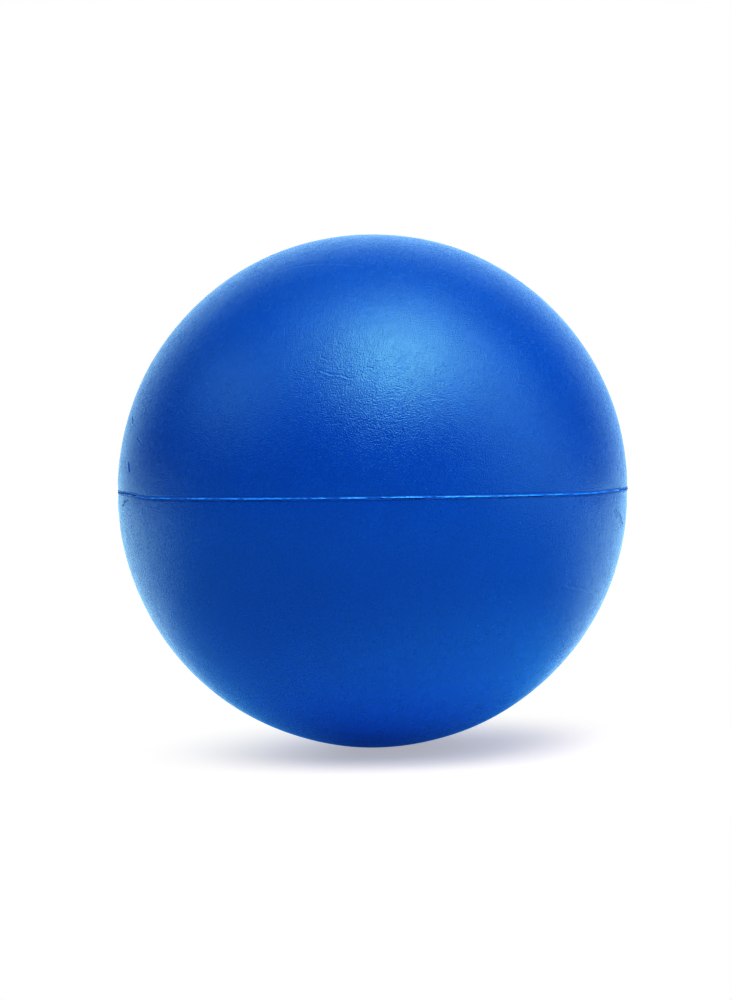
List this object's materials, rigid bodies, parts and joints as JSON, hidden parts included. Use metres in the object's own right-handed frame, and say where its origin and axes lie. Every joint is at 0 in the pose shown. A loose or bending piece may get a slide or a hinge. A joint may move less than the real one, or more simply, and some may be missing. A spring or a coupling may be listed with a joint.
{
  "type": "croquet ball",
  "caption": "Solid croquet ball: a moulded plastic cover in two half shells that register by tongue and groove round a pressed core, with a fine weld line round its equator.",
  "frame": {"origin": "the centre of the ball, in the plane of the seam", "axes": "+Z is the axis of the two half shells, normal to the seam plane, with the upper half on +Z; the ball is round about +Z, so +X and +Y are any two directions in the seam plane"},
  "size_m": [0.092, 0.092, 0.0926],
  "materials": {
    "cover": "satin",
    "weld": "satin",
    "core": "matte"
  },
  "bodies": {
    "root": {"upper_half_shell": "cover", "lower_half_shell": "cover", "seam_weld_ring": "weld", "core": "core"}
  },
  "joints": []
}
